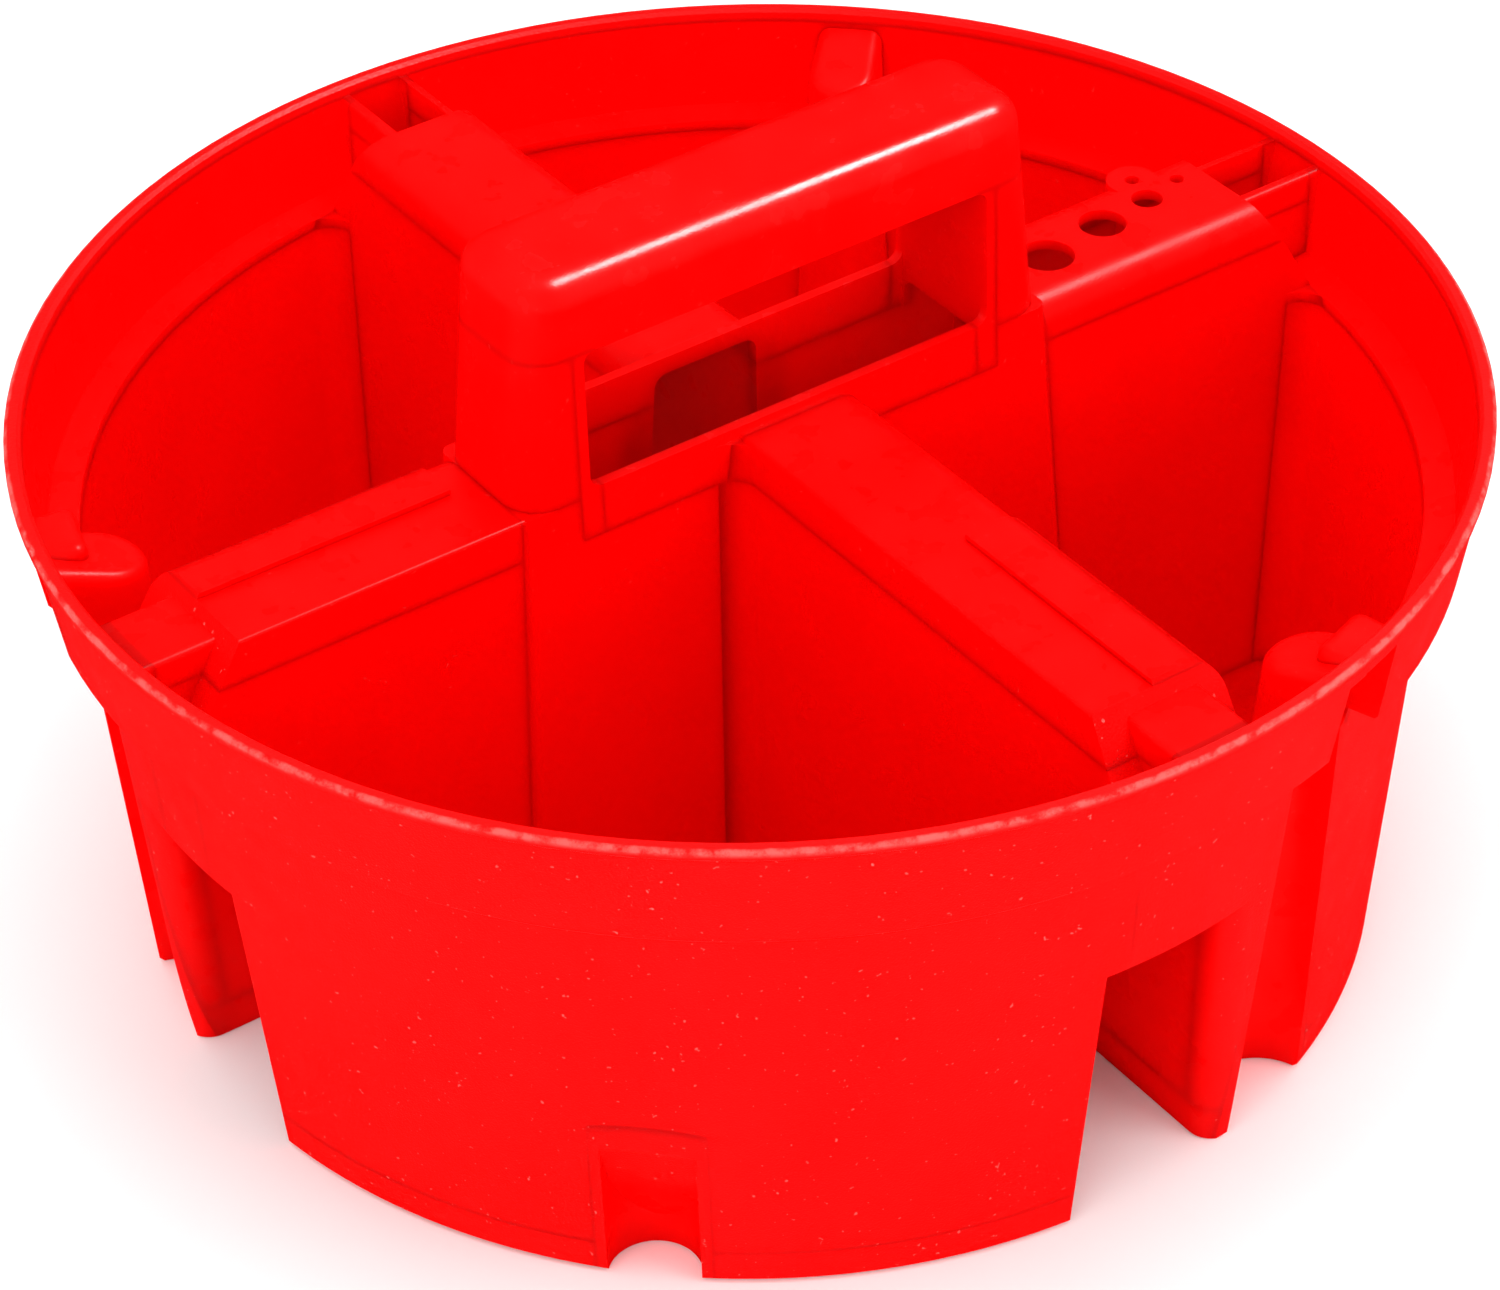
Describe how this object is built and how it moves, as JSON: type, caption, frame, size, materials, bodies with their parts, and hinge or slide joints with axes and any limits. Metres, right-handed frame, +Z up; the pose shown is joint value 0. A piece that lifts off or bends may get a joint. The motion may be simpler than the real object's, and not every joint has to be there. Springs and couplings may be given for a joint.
{
  "type": "cleaning caddy",
  "caption": "Round divided caddy with open bins, a fixed central carrying handle with a hand window, and tool holes in a divider.",
  "frame": {"origin": "centre of the base circle, on the ground", "axes": "+Z up, +X along the handle towards the tool holes, -Y towards the front divider"},
  "size_m": [0.28, 0.28, 0.1635],
  "materials": {
    "red_plastic": "satin, with a fine moulded grain on the outer wall"
  },
  "bodies": {
    "root": {"back_bin_box_wall": "red_plastic", "back_bin_floor": "red_plastic", "back_bin_wall_by_back_divider": "red_plastic", "back_bin_wall_by_right_divider": "red_plastic", "back_bridge": "red_plastic", "back_divider_cap": "red_plastic", "back_divider_left_side": "red_plastic", "back_divider_right_side": "red_plastic", "back_sill": "red_plastic", "band_groove_left": "red_plastic", "band_groove_right": "red_plastic", "base_pocket": "red_plastic", "front_bin_box_wall": "red_plastic", "front_bin_floor": "red_plastic", "front_bin_outer_wall": "red_plastic", "front_bridge": "red_plastic", "front_divider_cap": "red_plastic", "front_divider_left_side": "red_plastic", "front_divider_right_side": "red_plastic", "front_rail": "red_plastic", "front_sill": "red_plastic", "grip": "red_plastic", "left_bin_box_wall": "red_plastic", "left_bin_floor": "red_plastic", "left_bin_wall_by_back_divider": "red_plastic", "left_bin_wall_by_left_divider": "red_plastic", "left_bridge": "red_plastic", "left_divider_cap": "red_plastic", "left_divider_left_side": "red_plastic", "left_divider_right_side": "red_plastic", "left_post": "red_plastic", "left_post_jamb": "red_plastic", "left_rail": "red_plastic", "right_bin_box_wall": "red_plastic", "right_bin_floor": "red_plastic", "right_bin_wall_by_front_divider": "red_plastic", "right_bin_wall_by_right_divider": "red_plastic", "right_bridge": "red_plastic", "right_divider_cap": "red_plastic", "right_divider_left_side": "red_plastic", "right_divider_right_side": "red_plastic", "right_post": "red_plastic", "right_post_jamb": "red_plastic", "rim_band_front": "red_plastic", "rim_band_left": "red_plastic", "rim_band_right": "red_plastic", "rim_lip": "red_plastic", "stacking_pocket_back": "red_plastic", "stacking_pocket_left": "red_plastic", "stacking_pocket_right": "red_plastic"}
  },
  "joints": []
}
